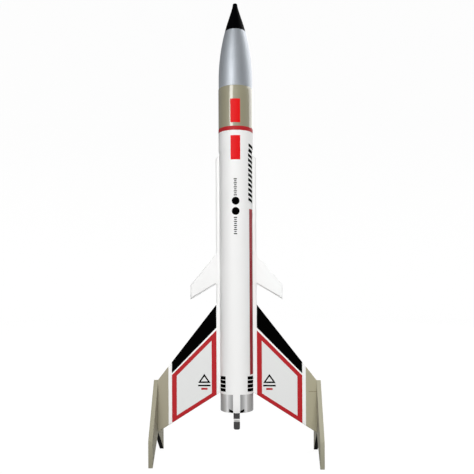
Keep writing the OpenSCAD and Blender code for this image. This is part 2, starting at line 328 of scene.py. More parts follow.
def steel():
    m, nt, b = new_mat("blued_spring_steel")
    v = coords(nt, (1, 1, 0.06))
    st = noise_tex(nt, v, 2600, 4, 0.6)
    big = noise_tex(nt, coords(nt), 130, 3)
    c = mix_col(nt, st, lin(52, 52, 54), lin(78, 78, 80))
    c = mix_col(nt, ramp(nt, big, [(0.4, grey(0)), (0.75, grey(1))]), c, lin(66, 62, 60))
    # painted highlight: a near-white band on the slanted bend, where the bend catches the light from above
    sp = N(nt, "ShaderNodeSeparateXYZ")
    tc = N(nt, "ShaderNodeTexCoord")
    nt.links.new(tc.outputs["Object"], sp.inputs[0])
    zz = N(nt, "ShaderNodeMath", operation="MULTIPLY_ADD")
    zz.inputs[1].default_value = 1.0
    jit = N(nt, "ShaderNodeMath", operation="MULTIPLY")
    jit.inputs[1].default_value = 0.0006
    nt.links.new(noise_tex(nt, coords(nt), 900, 3), jit.inputs[0])
    nt.links.new(sp.outputs["Z"], zz.inputs[0])
    nt.links.new(jit.outputs[0], zz.inputs[2])
    mr = N(nt, "ShaderNodeMapRange")
    mr.inputs["From Min"].default_value = (BEND_HIGHLIGHT[0] - 2) * MM
    mr.inputs["From Max"].default_value = (BEND_HIGHLIGHT[1] + 2) * MM
    nt.links.new(zz.outputs[0], mr.inputs["Value"])
    span = BEND_HIGHLIGHT[1] - BEND_HIGHLIGHT[0] + 4
    at = lambda z: (z - BEND_HIGHLIGHT[0] + 2) / span
    bend_highlight = ramp(nt, mr.outputs["Result"], [(at(BEND_HIGHLIGHT[0] - 0.2), grey(0)), (at(BEND_HIGHLIGHT[0] + 0.3), grey(1)),
                                           (at(BEND_HIGHLIGHT[1] - 0.3), grey(1)), (at(BEND_HIGHLIGHT[1] + 0.3), grey(0))])
    c = mix_col(nt, bend_highlight, c, lin(246, 246, 244))
    nt.links.new(c, b.inputs["Base Color"])
    b.inputs["Metallic"].default_value = 0.85
    rough_from(nt, b, st, 0.24, 0.4)
    bump_chain(nt, b, [(st, 0.12, 0.00005)])
    return m


# heights of the painted highlight on the hook's bend
BEND_HIGHLIGHT = (TAIL - 10.6, TAIL - 7.0)


M["steel"] = steel()


def plastic(name, col, rough=0.45):
    m, nt, b = new_mat(name)
    v = coords(nt)
    f = noise_tex(nt, v, 1800, 3)
    nt.links.new(mix_col(nt, noise_tex(nt, v, 45, 2), scale_col(col, 0.9), scale_col(col, 1.12)), b.inputs["Base Color"])
    rough_from(nt, b, noise_tex(nt, v, 150, 3), rough - 0.05, rough + 0.08)
    bump_chain(nt, b, [(f, 0.15, 0.00005)])
    return m


M["plug"] = plastic("moulded_black_plastic", lin(38, 38, 40))


def glue():
    m, nt, b = new_mat("painted_glue_fillet")
    v = coords(nt)
    nt.links.new(mix_col(nt, noise_tex(nt, v, 80, 3), scale_col(WHITE, 0.97), WHITE), b.inputs["Base Color"])
    rough_from(nt, b, noise_tex(nt, v, 200, 3), 0.32, 0.42)
    bump_chain(nt, b, [(noise_tex(nt, v, 350, 3), 0.2, 0.0001)])
    return m


M["glue"] = glue()


def canopy():
    """Thin canopy film, orange with white gores, folded and rolled."""
    m, nt, b = new_mat("canopy_film")
    v = coords(nt)
    at = coords(nt, (1, 1, 1))
    w = N(nt, "ShaderNodeTexWave", wave_type="BANDS", bands_direction="Z")
    w.inputs["Scale"].default_value = 9
    w.inputs["Distortion"].default_value = 1.2
    w.inputs["Detail"].default_value = 2
    nt.links.new(at, w.inputs["Vector"])
    c = mix_col(nt, ramp(nt, w.outputs["Fac"], [(0.60, grey(0)), (0.62, grey(1))]), lin(226, 96, 32), lin(238, 234, 226))
    nt.links.new(c, b.inputs["Base Color"])
    b.inputs["Sheen Weight"].default_value = 0.2
    rough_from(nt, b, noise_tex(nt, v, 300, 3), 0.35, 0.55)
    # ripstop weave and small creases
    br = N(nt, "ShaderNodeTexVoronoi", feature="DISTANCE_TO_EDGE")
    br.inputs["Scale"].default_value = 260
    nt.links.new(v, br.inputs["Vector"])
    bump_chain(nt, b, [(noise_tex(nt, v, 420, 4, 0.6), 0.5, 0.0004), (br.outputs["Distance"], 0.25, 0.0002)])
    return m


M["canopy"] = canopy()


# ---------------------------------------------------------------- mesh helpers (millimetres in, metres out)
def mesh_obj(name, verts, faces, body, mats, face_mat=None, angle=35, smooth=True):
    me = bpy.data.meshes.new(name)
    me.from_pydata([Vector(v) * MM for v in verts], [], faces)
    me.validate()
    for mt in (mats if isinstance(mats, (list, tuple)) else [mats]):
        me.materials.append(mt)
    if face_mat:
        for p in me.polygons:
            p.material_index = face_mat(p.center / MM, p.normal)
    return finish_obj(name, me, body, angle, smooth)


LEVELLED = {}                                 # name: (z0, z1, share), where the normals are turned towards level


def finish_obj(name, me, body, angle=35, smooth=True):
    bm = bmesh.new(); bm.from_mesh(me)
    bmesh.ops.recalc_face_normals(bm, faces=bm.faces)
    bm.to_mesh(me); bm.free()
    if smooth:
        for p in me.polygons:
            p.use_smooth = True
        me.set_sharp_from_angle(angle=radians(angle))
    if name in LEVELLED:
        z0, z1, share = LEVELLED[name]
        ns = []
        for lp, cn in zip(me.loops, me.corner_normals):
            c, n = me.vertices[lp.vertex_index].co, cn.vector.copy()
            out = Vector((c.x, c.y, 0)).normalized()
            if z0 <= c.z / MM <= z1 and n.dot(out) > 0.3:
                n = n.lerp(out, share)
            ns.append(n.normalized())
        me.normals_split_custom_set(ns)
    o = bpy.data.objects.new(name, me)
    bpy.context.scene.collection.objects.link(o)
    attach(o, body)
    return o


def lathe(name, profile, seg, body, mats, face_mat=None, centre=(0, 0), angle=35):
    """profile: closed list of (r, z); points with r = 0 become one vertex."""
    verts, rows = [], []
    for r, z in profile:
        if r < 1e-6:
            rows.append([len(verts)] * seg)
            verts.append((centre[0], centre[1], z))
        else:
            row = []
            for i in range(seg):
                a = 2 * pi * i / seg
                row.append(len(verts))
                verts.append((centre[0] + r * cos(a), centre[1] + r * sin(a), z))
            rows.append(row)
    faces = []
    n = len(profile)
    for k in range(n):
        a, b = rows[k], rows[(k + 1) % n]
        if a[0] == a[-1] and b[0] == b[-1] and seg > 1:
            continue
        for i in range(seg):
            j = (i + 1) % seg
            f = [a[i], a[j], b[j], b[i]]
            g = []
            for q in f:
                if q not in g:
                    g.append(q)
            if len(g) > 2:
                faces.append(g)
    return mesh_obj(name, verts, faces, body, mats, face_mat, angle)


def spread(z0, z1, step):
    n = max(1, int(round(abs(z1 - z0) / step)))
    return [z0 + (z1 - z0) * i / n for i in range(n + 1)]


def ring_profile(r_out, r_in, z0, z1, e=0.15, step=12):
    """A tube's closed profile with eased edges."""
    p = [(r_out - e, z0), (r_out - e * 0.3, z0 + e * 0.3)]
    p += [(r_out, z) for z in spread(z0 + e, z1 - e, step)]
    p += [(r_out - e * 0.3, z1 - e * 0.3), (r_out - e, z1)]
    p += [(r_in + e * .6, z1), (r_in, z1 - e * .6), (r_in, z0 + e * .6), (r_in + e * .6, z0)]
    return p


def on_tube(a, r, z):
    """a degrees from the front (-Y) towards +X."""
    return (r * sin(radians(a)), -r * cos(radians(a)), z)


def film(name, outline_fn, nu, nv, body, mat, r, lift=0.09, thick=0.07):
    """A thin film round the tube. outline_fn(u, v) -> (angle, z) for u, v in 0..1. r: radius, or its function of z."""
    verts, faces = [], []
    for up in (lift, lift - thick):
        for i in range(nu + 1):
            for j in range(nv + 1):
                a, z = outline_fn(i / nu, j / nv)
                verts.append(on_tube(a, (r(z) if callable(r) else r) + up, z))
    W = nv + 1
    off = (nu + 1) * W
    for i in range(nu):
        for j in range(nv):
            q = [i * W + j, (i + 1) * W + j, (i + 1) * W + j + 1, i * W + j + 1]
            faces.append(q)
            faces.append([x + off for x in reversed(q)])
    rim = [i * W for i in range(nu)] + [nu * W + j for j in range(nv)] + \
          [i * W + nv for i in range(nu, 0, -1)] + [j for j in range(nv, 0, -1)]
    for k in range(len(rim)):
        a, b = rim[k], rim[(k + 1) % len(rim)]
        faces.append([a, a + off, b + off, b])
    return mesh_obj(name, verts, faces, body, mat, angle=40)


def rect_film(name, a0, a1, z0, z1, r, mat, body="airframe", slant=0.0, lift=0.09, nv=1):
    """slant: how much higher the a1 side is than the a0 side."""
    nu = max(2, int(abs(a1 - a0) / 2))
    fn = lambda u, v: (a0 + (a1 - a0) * u, z0 + (z1 - z0) * v + slant * (u - 0.5))
    return film(name, fn, nu, nv, body, mat, r, lift)


def disc_film(name, a, z, rad, r, mat, lift=0.09):
    """A round film, made as a polar grid wrapped on the tube."""
    verts, faces = [], []
    seg, rings = 48, 5
    def place(rho, th, rr):
        return on_tube(a + degrees(rho * cos(th) / r), rr, z + rho * sin(th))
    for rr in (r + lift, r + lift - 0.07):
        base = len(verts)
        verts.append(place(0, 0, rr))
        for k in range(1, rings + 1):
            for i in range(seg):
                verts.append(place(rad * k / rings, 2 * pi * i / seg, rr))
        for i in range(seg):
            j = (i + 1) % seg
            faces.append([base, base + 1 + i, base + 1 + j])
            for k in range(rings - 1):
                p, q = base + 1 + k * seg, base + 1 + (k + 1) * seg
                faces.append([p + i, q + i, q + j, p + j])
    top, bot = 1 + (rings - 1) * seg, 1 + rings * seg + 1 + (rings - 1) * seg
    for i in range(seg):
        j = (i + 1) % seg
        faces.append([top + i, bot + i, bot + j, top + j])
    return mesh_obj(name, verts, faces, "airframe", mat, angle=40)


def bevelled_prism(outline, y0, y1, bevel=0.35, seg=3, to3d=None, sides=None, corners=True):
    """A bmesh of an extruded polygon (mm) with eased edges. to3d maps (u, v, w) to x, y, z.
    sides: the outline's sides whose edges are eased, or None for all; corners=False keeps the outline's corners sharp."""
    bm = bmesh.new()
    to3d = to3d or (lambda u, v, w: (u, w, v))
    a = [bm.verts.new(Vector(to3d(u, v, y0)) * MM) for u, v in outline]
    b = [bm.verts.new(Vector(to3d(u, v, y1)) * MM) for u, v in outline]
    bm.faces.new(a)
    bm.faces.new(list(reversed(b)))
    n = len(outline)
    side_faces = [bm.faces.new([a[i], b[i], b[(i + 1) % n], a[(i + 1) % n]]) for i in range(n)]
    bmesh.ops.recalc_face_normals(bm, faces=bm.faces)
    if sides is None:
        geom = list(bm.edges)
    else:
        free = [side_faces[i] for i in range(n) if i not in sides]
        geom = [e for e in bm.edges if not any(f in free for f in e.link_faces)
                and (corners or not all(f in side_faces for f in e.link_faces))]
    if bevel:
        bmesh.ops.bevel(bm, geom=geom, offset=bevel * MM, segments=seg, profile=0.5,
                        affect="EDGES", clamp_overlap=True)
    return bm


def cut(bm, point, normal):
    bmesh.ops.bisect_plane(bm, geom=bm.verts[:] + bm.edges[:] + bm.faces[:], dist=1e-7,
                           plane_co=Vector(point) * MM, plane_no=Vector(normal).normalized())


def bm_obj(name, bm, body, mats, pick=None, angle=30):
    bmesh.ops.recalc_face_normals(bm, faces=bm.faces)
    me = bpy.data.meshes.new(name)
    bm.to_mesh(me)
    bm.free()
    for mt in mats:
        me.materials.append(mt)
    if pick:
        for p in me.polygons:
            p.material_index = pick(p.center / MM, p.normal)
    return finish_obj(name, me, body, angle)


# ---------------------------------------------------------------- body tube and sleeve
outside = lambda r: (lambda c, n: 0 if Vector((c.x, c.y)).length > r else 1)
o = lathe("tube_skin", ring_profile(TUBE_R, BORE_R, TAIL, MOUTH - 0.02), 160, "airframe",
          [M["white_tube"], M["tube_inside"]], outside(TUBE_R - 0.35))
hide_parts("body_tube")

BAND_Z = (332.7, 336.8)
TAPER = 2.4                                   # the sleeve's lower edge is filled and sanded down to the tube


def outer_r(z):
    t = min(max((z - SLEEVE_Z0) / TAPER, 0), 1)
    return TUBE_R + (SLEEVE_R - TUBE_R) * t * t * (3 - 2 * t)


# the filled step doesn't shade as a line in the picture
LEVELLED["sleeve_skin"] = LEVELLED["red_panel_lower"] = (SLEEVE_Z0 - 0.1, SLEEVE_Z0 + TAPER + 0.1, 0.8)

prof = []
r_, i_ = SLEEVE_R, TUBE_R + 0.02
prof += [(outer_r(z) + 0.05 * (1 - k / 12), z) for k, z in enumerate(spread(SLEEVE_Z0, SLEEVE_Z0 + TAPER, TAPER / 12)[:-1])]
prof += [(r_, z) for z in spread(SLEEVE_Z0 + TAPER, BAND_Z[0] + 1.5, 6)]
prof += [(r_, z) for z in spread(BAND_Z[0] + 1.5, MOUTH - 0.25, 8)][1:]
prof += [(r_ - 0.06, MOUTH - 0.06), (r_ - 0.2, MOUTH)]
prof += [(i_, MOUTH), (i_, SLEEVE_Z0)]
o = lathe("sleeve_skin", prof, 160, "airframe", [M["khaki_tube"], M["white_tube"]],
          lambda c, n: 0 if c.z > BAND_Z[0] + 1.5 else 1)
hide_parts("forward_sleeve")
rect_film("red_band", -180, 180 - 1e-6, BAND_Z[0], BAND_Z[1], SLEEVE_R, M["red_dark_film"])

# red panels on the front, the lower one runs over the sleeve's step
rect_film("red_panel_upper", FA - 16, FA + 16, 340.2, 363.9, SLEEVE_R, M["red_film"])
low = [303.4, SLEEVE_Z0 - 0.3] + spread(SLEEVE_Z0, SLEEVE_Z0 + TAPER, TAPER / 8) + [327.4]
panel = lambda u, v: (FA + (2 * u - 1) * degrees(4.88 / outer_r(low[round(v * (len(low) - 1))])), low[round(v * (len(low) - 1))])
film("red_panel_lower", panel, 16, len(low) - 1, "airframe", M["red_film"], outer_r, lift=0.14)

# ---------------------------------------------------------------- nose
NOSE_R, NOSE_CURVE = 17.2, 80.0
RHO = (NOSE_R ** 2 + NOSE_CURVE ** 2) / (2 * NOSE_R)


def ogive(h): return sqrt(RHO ** 2 - (NOSE_CURVE - min(h, NOSE_CURVE)) ** 2) + NOSE_R - RHO


def blunt(h):
    return sqrt(ogive(h + 0.4) ** 2 + 5.6 * max(0, 1 - h / 16)) * (sqrt(1 - (1 - h / 1.2) ** 2) if h < 1.2 else 1)


PAINT_Z = 436.6
prof = [(0, TOP)]
hs = [0.03, 0.1, 0.2, 0.34, 0.52, 0.75, 1.0, 1.2] + [1.5 + 1.0 * i for i in range(0, 29)]
hs += [TOP - PAINT_Z - 0.01, TOP - PAINT_Z + 0.01] + [31 + 1.6 * i for i in range(1, 35)]
hs = sorted(h for h in hs if h < TOP - MOUTH - 0.4)
prof += [(blunt(h), TOP - h) for h in hs]
prof += [(NOSE_R, MOUTH + 0.35), (NOSE_R - 0.08, MOUTH + 0.1), (NOSE_R - 0.3, MOUTH + 0.01)]
SR = hi("nose_cone").x and 16.22
prof += [(SR + 0.15, MOUTH + 0.01), (SR, MOUTH - 0.15)]
prof += [(SR, z) for z in spread(MOUTH - 1, SHOULDER_Z + 1.2, 5)]
prof += [(SR - 0.25, SHOULDER_Z + 0.35), (SR - 0.8, SHOULDER_Z)]
prof += [(SR - 1.3, SHOULDER_Z), (SR - 1.3, MOUTH + 2), (SR - 3, MOUTH + 22), (SR - 7, MOUTH + 48), (0, MOUTH + 66)]
o = lathe("nose_skin", prof, 160, "nose", [M["silver_nose"], M["black_nose"], M["plug"]],
          lambda c, n: 2 if (c.z < MOUTH or Vector((c.x, c.y)).length < blunt(max(TOP - c.z, 0.02)) - 0.9) and c.z < MOUTH + 66
          else (1 if c.z > PAINT_Z else 0))
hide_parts("nose_cone")


# ---------------------------------------------------------------- nose base plug: moulded cap with an eyelet
def easing(node, width=0.15, segs=2, angle=35):
    """Softens the edges of a CAD node that stays."""
    o = nodes[node]
    b = o.modifiers.new("ease", "BEVEL")
    b.width = width * MM
    b.segments = segs
    b.limit_method = "ANGLE"
    b.angle_limit = radians(angle)
    b.harden_normals = False


def dress(node, *mats):
    o = nodes[node]
    if not len(o.material_slots):
        o.data.materials.append(mats[0])
    for i, s in enumerate(o.material_slots):
        s.material = mats[min(i, len(mats) - 1)]


dress("nose_base_plug", M["plug"])
dress("motor_tube", M["kraft"])
dress("thrust_ring", M["kraft_dark"])
dress("forward_centering_ring", M["board"])
dress("aft_centering_ring", M["board"])
dress("hook_retaining_band", M["band"])
dress("shock_cord_anchor", M["card"])
dress("lug_standoff", M["white_wood"])
for n in ("nose_base_plug",):
    easing(n, 0.2)

# ---------------------------------------------------------------- sheet parts
S50 = TAIL
W_LE = (S50 + 107.6, S50 + 30.3)
W_TE = (S50 + 15.1, S50 - 23.2)
GL = 0.02


def flip_outline(pts, s): return [(s * x, z) for x, z in pts]


RED_X1 = 66.7
STRIP_X1 = 70.3
BLK_Z = (S50 + 84.0, S50 + 37.2)       # lower edge of the black stripe, root and outer end
RED_TOP = (S50 + 81.3, S50 + 35.3)
RED_W, RED_SL_TOP, RED_SL_BOT = 5.0, 5.7, 4.9


def line(z0, z1, x, x0=STRAKE_X, x1=RED_X1): return z0 + (z1 - z0) * (x - x0) / (x1 - x0)


def te_z(x): return line(W_TE[0], W_TE[1], x, STRAKE_X, WING_X)
def le_z(x): return line(W_LE[0], W_LE[1], x, STRAKE_X, WING_X)


# a fine line across the right wing's khaki tip
bmf = bmesh.new()
q = [(73.2, 69.1), (WING_X - 0.1, 69.1), (WING_X - 0.1, 69.5), (73.2, 69.5)]
a = [bmf.verts.new(Vector((x, -T - 0.05, z)) * MM) for x, z in q]
b = [bmf.verts.new(Vector((x, -T, z)) * MM) for x, z in q]
bmf.faces.new(a); bmf.faces.new(list(reversed(b)))
for i in range(4):
    bmf.faces.new([a[i], b[i], b[(i + 1) % 4], a[(i + 1) % 4]])
bm_obj("right_wing_tip_line", bmf, "airframe", [M["khaki_line"]])

for s, side in ((1, "right"), (-1, "left")):
    # wing: one painted piece, cut along the edges of its colours
    pts = [(STRAKE_X + GL, W_TE[0]), (WING_X, W_TE[1]), (WING_X, W_LE[1]), (STRAKE_X + GL, W_LE[0])]
    bm = bevelled_prism(flip_outline(pts, s), -T, T, 0.8, 5, sides=(0, 2))
    for x in (STRAKE_X + RED_W, RED_X1 - RED_W, RED_X1, STRIP_X1):
        cut(bm, (s * x, 0, 100), (1, 0, 0))

    def slanted(z0, z1, x0=STRAKE_X, x1=RED_X1):
        n = Vector((-(z1 - z0), 0, (x1 - x0)))
        cut(bm, (s * x0, 0, z0), (s * n.x, 0, n.z))
    slanted(*BLK_Z)
    slanted(*RED_TOP)
    slanted(RED_TOP[0] - RED_SL_TOP, RED_TOP[1] - RED_SL_TOP)
    slanted(te_z(STRAKE_X) + RED_SL_BOT, te_z(RED_X1) + RED_SL_BOT)

    def wing_pick(c, n, s=s):
        x, z = c.x * s, c.z
        if x > STRIP_X1: return 1
        if x > RED_X1: return 0
        if z > line(*BLK_Z, x): return 2
        if z > line(*RED_TOP, x): return 0
        if abs(n.y) < 0.5 and z < te_z(x) + 1.5: return 0
        inner = (STRAKE_X + RED_W < x < RED_X1 - RED_W and z < line(*RED_TOP, x) - RED_SL_TOP
                 and z > te_z(x) + RED_SL_BOT)
        return 4 if inner else 3
    o = bm_obj(side + "_wing_panel", bm, "airframe",
               [M["white_wing_" + side[0]], M["khaki_wing_" + side[0]], M["black_film"], M["red_dark_film"], M["fill_film"]],
               wing_pick)
    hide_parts(side + "_wing")

    # forward fin
    pts = [(STRAKE_X + GL, S50 + 128.5), (47.2, S50 + 112.8), (47.2, S50 + 127.5), (STRAKE_X + GL, S50 + 159.3)]
    bm = bevelled_prism(flip_outline(pts, s), -T, T, 1.5, 1, sides=(0,), corners=False)
    bm.normal_update()
    cap = lambda f: abs(f.normal.y) > 0.99
    rim = lambda f: abs(f.normal.y) < 0.1 and abs(f.calc_center_median().x) > (STRAKE_X + 1) * MM and f.normal.z > -0.5
    edges = [e for e in bm.edges if len(e.link_faces) == 2 and any(cap(f) for f in e.link_faces) and any(rim(f) for f in e.link_faces)]
    bmesh.ops.bevel(bm, geom=edges, offset=1.45 * MM, segments=8, profile=0.5, affect="EDGES", clamp_overlap=True)
    o = bm_obj(side + "_forward_fin_panel", bm, "airframe", [M["white_fin_" + side[0]]])
    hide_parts(side + "_forward_fin")

    # strake: its outer edge is sanded off where nothing is glued to it
    sb = W_TE[0] + (STRAKE_X - TUBE_R) * 0.633
    free = ((W_LE[0] + 1.0, S50 + 127.6), (S50 + 160.2, S50 + 256.2))
    z_list = sorted({W_TE[0], W_TE[0] + 0.25, S50 + 257, S50 + 256.7} | {z + d for f in free for z in f for d in (-0.6, 0, 0.6)}
                    | set(spread(W_TE[0] + 3, S50 + 255, 8)))
    verts, faces = [], []
    for z in z_list:
        t = (z - z_list[0]) / (z_list[-1] - z_list[0])
        slope = 0.633 + (4.1 / (STRAKE_X - TUBE_R + 0.1) - 0.633) * t
        near = max(min(min(z - a, b - z) / 0.6, 1) for a, b in free)
        r = 0.12 + (1.05 - 0.12) * min(max((near + 1) / 2, 0), 1)
        inset = 0.2 if z in (z_list[0], z_list[-1]) else 0.0
        xi, xo, t_ = TUBE_R - 0.1, STRAKE_X - inset, T - inset
        sec = [(xi, -t_)] + [(xo - r + r * k / 6, -t_ + r * (0.85 * k / 6 + 0.15 * (1 - cos(k * pi / 12)))) for k in range(7)]
        sec += [(x, -y) for x, y in reversed(sec)]
        verts += [(s * x, y, z + slope * (STRAKE_X - x)) for x, y in sec]
    m = len(sec)
    for k in range(len(z_list) - 1):
        for i in range(m):
            j = (i + 1) % m
            faces.append([k * m + i, k * m + j, (k + 1) * m + j, (k + 1) * m + i])
    faces += [list(range(m)), [(len(z_list) - 1) * m + i for i in reversed(range(m))]]
    o = mesh_obj(side + "_strake_panel", verts, faces, "airframe", M["white_wood"], angle=40)
    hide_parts(side + "_strake")

    # end plate: khaki, with its downward trailing-edge faces painted black as painted shade
    bz = (W_LE[1], S50 - 24.0, 0.0, W_TE[1])
    out = [(0, bz[0]), (PLATE_Y, bz[1]), (PLATE_Y, bz[2]), (0, bz[3]), (-PLATE_Y, bz[2]), (-PLATE_Y, bz[1])]
    bm = bevelled_prism(out, s * PLATE_X0, s * PLATE_X1, 0.3, 3, to3d=lambda u, v, w: (w, u, v))
    o = bm_obj(side + "_end_plate_panel", bm, "airframe", [M["khaki_plate_" + side[0]], M["black_wood"]],
               lambda c, n: 1 if (n.z < -0.5 and abs(n.x) < 0.45) else 0)
    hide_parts(side + "_end_plate")

    # generic mark on the wing: a chevron over a short bar, on both faces
    def flat_film(name, poly, mat, face):
        y = face * (T + 0.07)
        y2 = face * (T + 0.0)
        bmf = bmesh.new()
        a = [bmf.verts.new(Vector((s * x, y, z)) * MM) for x, z in poly]
        b = [bmf.verts.new(Vector((s * x, y2, z)) * MM) for x, z in poly]
        bmf.faces.new(a); bmf.faces.new(list(reversed(b)))
        for i in range(len(poly)):
            j = (i + 1) % len(poly)
            bmf.faces.new([a[i], b[i], b[j], a[j]])
        return bm_obj(name, bmf, "airframe", [mat])
    for face, fname in ((-1, "front"), (1, "back")):
        cx, cz = 33.3, 79.0
        a, b_, c_ = (cx - 6.4, cz - 1.2), (cx, cz + 8.2), (cx + 6.4, cz - 1.2)
        ai, bi, ci = (cx - 3.6, cz + 0.4), (cx, cz + 5.4), (cx + 3.6, cz + 0.4)
        for tag, poly in (("left", [a, b_, bi, ai]), ("right", [b_, c_, ci, bi]), ("foot", [c_, a, ai, ci])):
            flat_film(f"{side}_wing_{fname}_delta_{tag}", poly, M["black_film"], face)
        flat_film(f"{side}_wing_{fname}_bar", [(cx - 6.4, cz - 4.6), (cx - 6.4, cz - 3.0), (cx + 6.4, cz - 3.0), (cx + 6.4, cz - 4.6)], M["black_film"], face)
        flat_film(f"{side}_wing_{fname}_bar_red", [(cx - 3.2, cz - 8.2), (cx - 3.2, cz - 6.2), (cx + 3.2, cz - 6.2), (cx + 3.2, cz - 8.2)], M["red_dark_film"], face)


# ---------------------------------------------------------------- glue fillets along the strakes
def strip_fillet(name, section, z0, z1, step, mat, wob=0.06, seed=1):
    """section: closed list of (x, y) in mm. Swept along Z with slightly uneven width."""
    rnd = random.Random(seed)
    zs = spread(z0, z1, step)
    verts, faces = [], []
    n = len(section)
    cx = sum(p[0] for p in section) / n; cy = sum(p[1] for p in section) / n
    for k, z in enumerate(zs):
        f = 1 + wob * (rnd.random() - 0.5) * 2
        if k in (0, len(zs) - 1): f *= 0.6
        for x, y in section:
            verts.append((cx + (x - cx) * f, cy + (y - cy) * f, z))
    for k in range(len(zs) - 1):
        for i in range(n):
            j = (i + 1) % n
            faces.append([k * n + i, k * n + j, (k + 1) * n + j, (k + 1) * n + i])
    faces.append(list(range(n)))
    faces.append([(len(zs) - 1) * n + i for i in reversed(range(n))])
    return mesh_obj(name, verts, faces, "airframe", mat, angle=50)


def tube_fillet(s, f, r=0.9):
    """Concave fillet between the tube (radius TUBE_R) and the strake's face at y = f * T."""
    y_face = T
    # centre of the fillet's circle: r outside the tube and r off the face
    yc = y_face + r
    xc = sqrt((TUBE_R + r) ** 2 - yc ** 2)
    # touch points
    t0 = (TUBE_R * xc / (TUBE_R + r), TUBE_R * yc / (TUBE_R + r))
    t1 = (xc, y_face)
    a0 = atan2(t0[1] - yc, t0[0] - xc)
    a1 = atan2(t1[1] - yc, t1[0] - xc)
    if a0 < 0: a0 += 2 * pi
    if a1 < 0: a1 += 2 * pi
    arc = [(xc + r * cos(a0 + (a1 - a0) * k / 6), yc + r * sin(a0 + (a1 - a0) * k / 6)) for k in range(7)]
    root = (sqrt(TUBE_R ** 2 - y_face ** 2) - 0.05, y_face - 0.05)
    sec = arc + [root]
    return [(s * x, f * y) for x, y in sec]


k = 0
for s, side in ((1, "right"), (-1, "left")):
    for f, fn in ((-1, "front"), (1, "back")):
        k += 1
        strip_fillet(f"{side}_strake_fillet_{fn}", tube_fillet(s, f), W_TE[0] + 2.4, S50 + 260, 6, M["glue"], seed=k)

# ---------------------------------------------------------------- markings on the tube
disc_film("dot_upper", FA, S50 + 211.75, 3.9, TUBE_R, M["black_film"])
disc_film("dot_lower", FA, S50 + 201.5, 3.9, TUBE_R, M["black_film"])
DEG = degrees(1 / TUBE_R)
for tag, z0, z1 in (("upper", 217.0, 234.0), ("lower", 178.4, 195.6)):
    n = 9
    pitch = (z1 - z0) / (n - 0.5)
    for i in range(n):
        z = S50 + z0 + i * pitch
        w = 1.6 if i % 2 == 0 else 1.15
        rect_film(f"tick_{tag}_{i}", FA - 0.25 * DEG - w * DEG, FA - 0.25 * DEG + w * DEG, z, z + pitch * 0.5, TUBE_R, M["black_film"])
rect_film("side_stripe", 66.8 - 3.7 * DEG, 66.8 + 3.7 * DEG, S50 + 37.2, S50 + 204.3, TUBE_R, M["red_stripe_shaded_film"])
n = 12
pitch = (269.5 - 210.4) / n
for i in range(n):
    z = S50 + 211.6 + i * pitch
    rect_film(f"side_hash_{i:02d}", 49.5, 78, z, z + pitch * 0.6, outer_r, M["black_film"], slant=-2.4, nv=4, lift=0.12)
for s, side in ((1, "right"), (-1, "left")):
    for i in range(4):
        z = S50 + 20.3 + i * 4.02
        rect_film(f"{side}_bar_{i}", FA + s * 41, FA + s * 79, z - 0.1, z + 3.2, TUBE_R, M["black_film"], slant=-0.8)
    a_in, a_out = FA + s * 11.5, FA + s * 26.5
    mark = lambda u, v: (a_in + (a_out - a_in) * u, TAIL + 0.2 + 0.7 * u + v * (1.9 + 1.1 * u))
    film(f"{side}_rim_mark", mark, 8, 1, "airframe", M["black_film"], TUBE_R, lift=0.16)
for q in range(4):
    a = 90 * q + FA
    top = lambda u: TAIL + 17.5 + 0.8 * (1 - u if q % 2 == 0 else u)
    p0, p1 = (8.4 if q in (1, 3) else 12.4), (77.6 if q in (1, 3) else 79.6)
    panel = lambda u, v: (a + p0 + (p1 - p0) * u, TAIL + 0.12 + (top(u) - TAIL - 0.12) * v)
    film(f"tail_panel_{q}", panel, 32, 1, "airframe", M["silver_film"], TUBE_R)


# ---------------------------------------------------------------- engine hook: bent spring strip
def rounded_path(pts, radii, step=0.35):
    """A polyline with its corners rounded; pts are (y, z)."""
    out = [Vector(pts[0])]
    for i in range(1, len(pts) - 1):
        p, c, q = Vector(pts[i - 1]), Vector(pts[i]), Vector(pts[i + 1])
        d0, d1 = (p - c).normalized(), (q - c).normalized()
        ang = d0.angle(d1)
        t = radii[i - 1] / math.tan(ang / 2)
        a, b = c + d0 * t, c + d1 * t
        cen = c + (d0 + d1).normalized() * (radii[i - 1] / sin(ang / 2))
        a0 = atan2(a.y - cen.y, a.x - cen.x); a1 = atan2(b.y - cen.y, b.x - cen.x)
        while a1 - a0 > pi: a1 -= 2 * pi
        while a1 - a0 < -pi: a1 += 2 * pi
        m = max(3, int(abs(a1 - a0) * radii[i - 1] / step) + 3)
        for j in range(m + 1):
            th = a0 + (a1 - a0) * j / m
            out.append(cen + Vector((cos(th), sin(th))) * radii[i - 1])
    out.append(Vector(pts[-1]))
    # fill long straight stretches
    res = [out[0]]
    for a, b in zip(out, out[1:]):
        d = (b - a).length
        m = max(1, int(d / 6))
        for j in range(1, m + 1):
            res.append(a.lerp(b, j / m))
    return res


HK0, HK1 = lo("engine_hook"), hi("engine_hook")
HW = HK1.x                       # half width, 3.2
HT = 0.8
HY = -HK0.y - HT / 2             # distance of the strip's middle from the axis
HTOP = HK1.z - HT / 2
STEP_Z = TAIL - 7.3
path = rounded_path([(-(HK1.y and 7.62), HTOP), (-HY, HTOP), (-HY, STEP_Z - 0.35), (-HY + 3.0, STEP_Z - 3.25), (-HY + 2.6, HK0.z + 0.02)],
                    [0.6, 1.6, 1.0])
